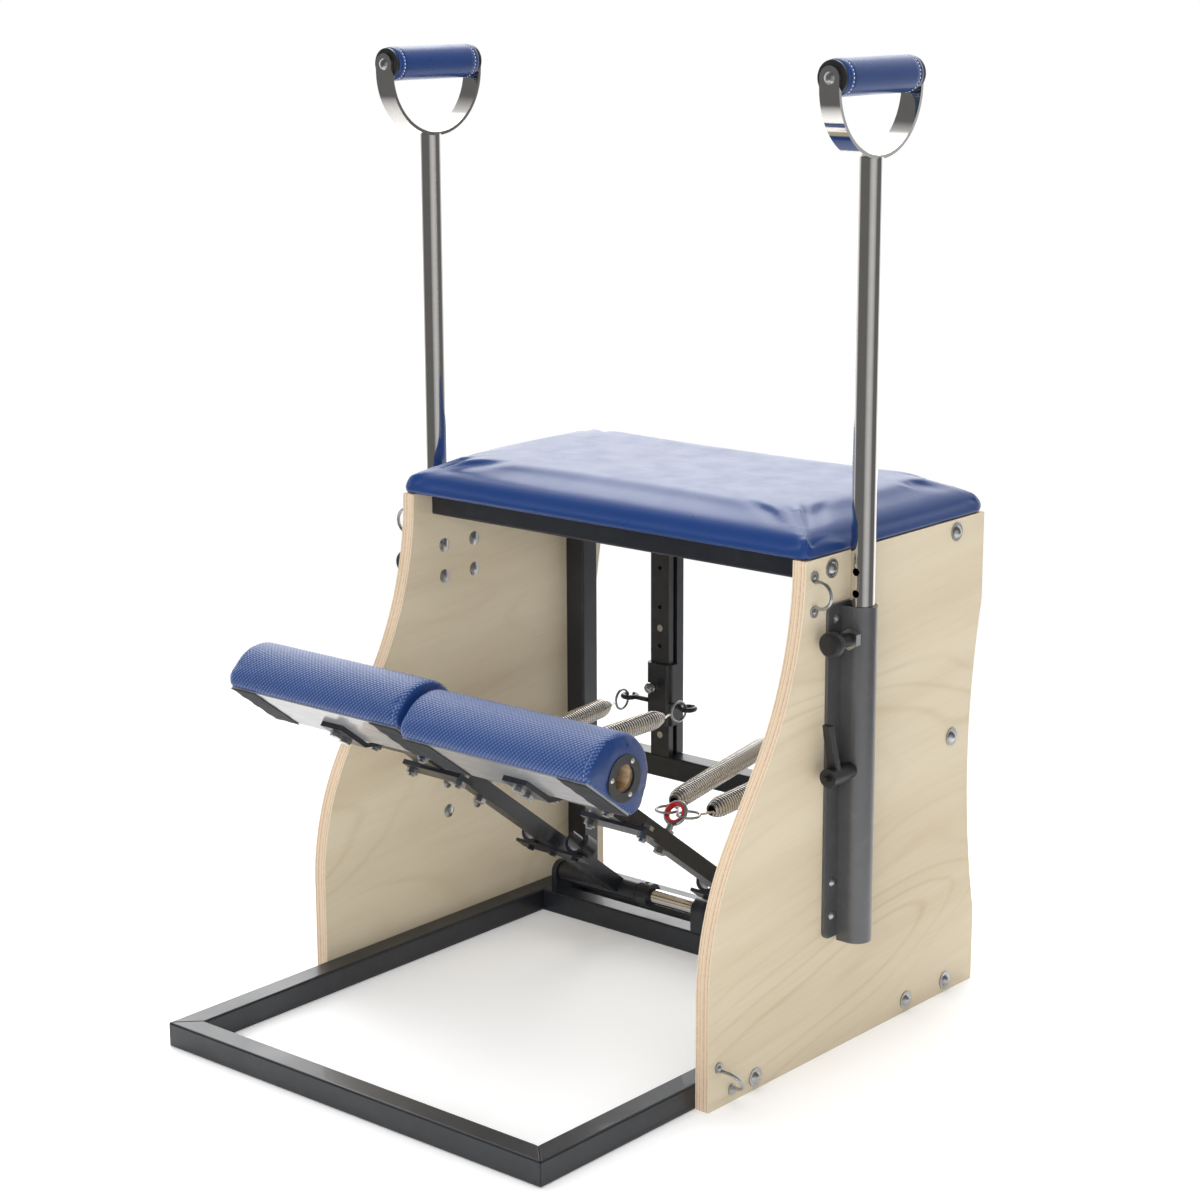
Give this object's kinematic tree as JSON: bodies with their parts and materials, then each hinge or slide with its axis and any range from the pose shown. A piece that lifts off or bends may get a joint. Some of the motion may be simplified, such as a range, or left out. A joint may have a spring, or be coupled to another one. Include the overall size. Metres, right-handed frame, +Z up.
{
  "type": "pilates chair",
  "caption": "Pilates chair with a padded seat on curved plywood sides, spring-loaded split foot pedals and height-adjustable side handles.",
  "frame": {"origin": "centre of the footprint on the floor", "axes": "+Z up, -Y towards the pedals, +X to the right panel"},
  "size_m": [0.7, 0.786, 1.1375],
  "materials": {
    "birch_ply": "clear satin lacquer",
    "pale_board": "bare sanded board",
    "blue_vinyl": "grained vinyl",
    "graphite_paint": "semi-gloss paint",
    "chrome_tube": "polished chrome",
    "black_plastic": "moulded",
    "red_plastic": "moulded",
    "spring_steel": "nickel plate",
    "zinc_fastener": "zinc plate",
    "black_powder_coat": "semi-gloss powder coat"
  },
  "bodies": {
    "chair_frame": {"base_cross_bar": "black_powder_coat", "base_front_bar": "black_powder_coat", "base_left_bar": "black_powder_coat", "base_rear_bar": "black_powder_coat", "base_right_bar": "black_powder_coat", "frame_fasteners": "zinc_fastener", "front_seat_rail": "black_powder_coat", "left_panel": "birch_ply", "left_sleeve": "graphite_paint", "left_spring_post": "black_powder_coat", "left_upright": "black_powder_coat", "pivot_shaft": "chrome_tube", "rear_mid_bar": "black_powder_coat", "rear_seat_rail": "black_powder_coat", "right_panel": "birch_ply", "right_sleeve": "graphite_paint", "right_spring_post": "black_powder_coat", "right_upright": "black_powder_coat", "seat_board": "pale_board", "seat_cushion": "blue_vinyl", "shaft_mounts": "black_powder_coat", "sleeve_fasteners": "zinc_fastener", "wire_hooks": "zinc_fastener"},
    "left_pedal": {"left_pedal_arm": "black_powder_coat", "left_pedal_bracket": "black_powder_coat", "left_bracket_bolts": "zinc_fastener", "left_pedal_core": "pale_board", "left_pedal_pad": "blue_vinyl", "left_pad_end_rings": "black_plastic", "left_spring_eyebolt": "zinc_fastener", "left_eye_liner": "red_plastic", "left_arm_clips": "black_powder_coat", "left_spring_inner": "spring_steel", "left_spring_outer": "spring_steel"},
    "left_handle": {"left_handle_frame": "chrome_tube", "left_handle_grip": "blue_vinyl", "left_handle_fittings": "black_plastic"},
    "left_plunger": {"left_sleeve_plunger": "black_plastic"},
    "left_lever": {"left_clamp_lever": "black_plastic"},
    "left_carriage": {"left_carriage": "black_powder_coat"},
    "left_pin": {"left_carriage_pin": "zinc_fastener"},
    "right_pedal": {"right_pedal_arm": "black_powder_coat", "right_pedal_bracket": "black_powder_coat", "right_bracket_bolts": "zinc_fastener", "right_pedal_core": "pale_board", "right_pedal_pad": "blue_vinyl", "right_pad_end_rings": "black_plastic", "right_spring_eyebolt": "zinc_fastener", "right_eye_liner": "red_plastic", "right_arm_clips": "black_powder_coat", "right_spring_inner": "spring_steel", "right_spring_outer": "spring_steel"},
    "right_handle": {"right_handle_frame": "chrome_tube", "right_handle_grip": "blue_vinyl", "right_handle_fittings": "black_plastic"},
    "right_plunger": {"right_sleeve_plunger": "black_plastic"},
    "right_lever": {"right_clamp_lever": "black_plastic"},
    "right_carriage": {"right_carriage": "black_powder_coat"},
    "right_pin": {"right_carriage_pin": "zinc_fastener"}
  },
  "joints": [
    {"name": "left_pedal_press", "type": "hinge", "parent": "chair_frame", "child": "left_pedal", "pos_m": [0, 0.248, 0.057], "axis": [1, 0, 0], "range_deg": [0, 35.4], "stiffness_Nm_per_rad": 60, "springref_deg": -28.65, "deforming": ["left_spring_inner", "left_spring_outer"]},
    {"name": "left_handle_height", "type": "slide", "parent": "chair_frame", "child": "left_handle", "axis": [0, 0, 1], "range_m": [0, 0.25]},
    {"name": "left_plunger_pull", "type": "slide", "parent": "chair_frame", "child": "left_plunger", "axis": [0, -1, 0], "range_m": [0, 0.008], "stiffness_N_per_m": 1500, "springref_m": -0.004},
    {"name": "left_lever_turn", "type": "hinge", "parent": "chair_frame", "child": "left_lever", "pos_m": [-0.3295, 0.06, 0.345], "axis": [0, -1, 0], "range_deg": [0, 120]},
    {"name": "left_carriage_height", "type": "slide", "parent": "chair_frame", "child": "left_carriage", "axis": [0, 0, 1], "range_m": [0, 0.156]},
    {"name": "left_pin_pull", "type": "slide", "parent": "left_carriage", "child": "left_pin", "axis": [0, -1, 0], "range_m": [0, 0.006], "stiffness_N_per_m": 800, "springref_m": -0.004},
    {"name": "right_pedal_press", "type": "hinge", "parent": "chair_frame", "child": "right_pedal", "pos_m": [0, 0.248, 0.057], "axis": [1, 0, 0], "range_deg": [0, 34.6], "stiffness_Nm_per_rad": 60, "springref_deg": -28.65, "deforming": ["right_spring_inner", "right_spring_outer"]},
    {"name": "right_handle_height", "type": "slide", "parent": "chair_frame", "child": "right_handle", "axis": [0, 0, 1], "range_m": [0, 0.25]},
    {"name": "right_plunger_pull", "type": "slide", "parent": "chair_frame", "child": "right_plunger", "axis": [0, -1, 0], "range_m": [0, 0.008], "stiffness_N_per_m": 1500, "springref_m": -0.004},
    {"name": "right_lever_turn", "type": "hinge", "parent": "chair_frame", "child": "right_lever", "pos_m": [0.3295, 0.06, 0.345], "axis": [0, 1, 0], "range_deg": [0, 120]},
    {"name": "right_carriage_height", "type": "slide", "parent": "chair_frame", "child": "right_carriage", "axis": [0, 0, 1], "range_m": [0, 0.156]},
    {"name": "right_pin_pull", "type": "slide", "parent": "right_carriage", "child": "right_pin", "axis": [0, -1, 0], "range_m": [0, 0.006], "stiffness_N_per_m": 800, "springref_m": -0.004}
  ]
}
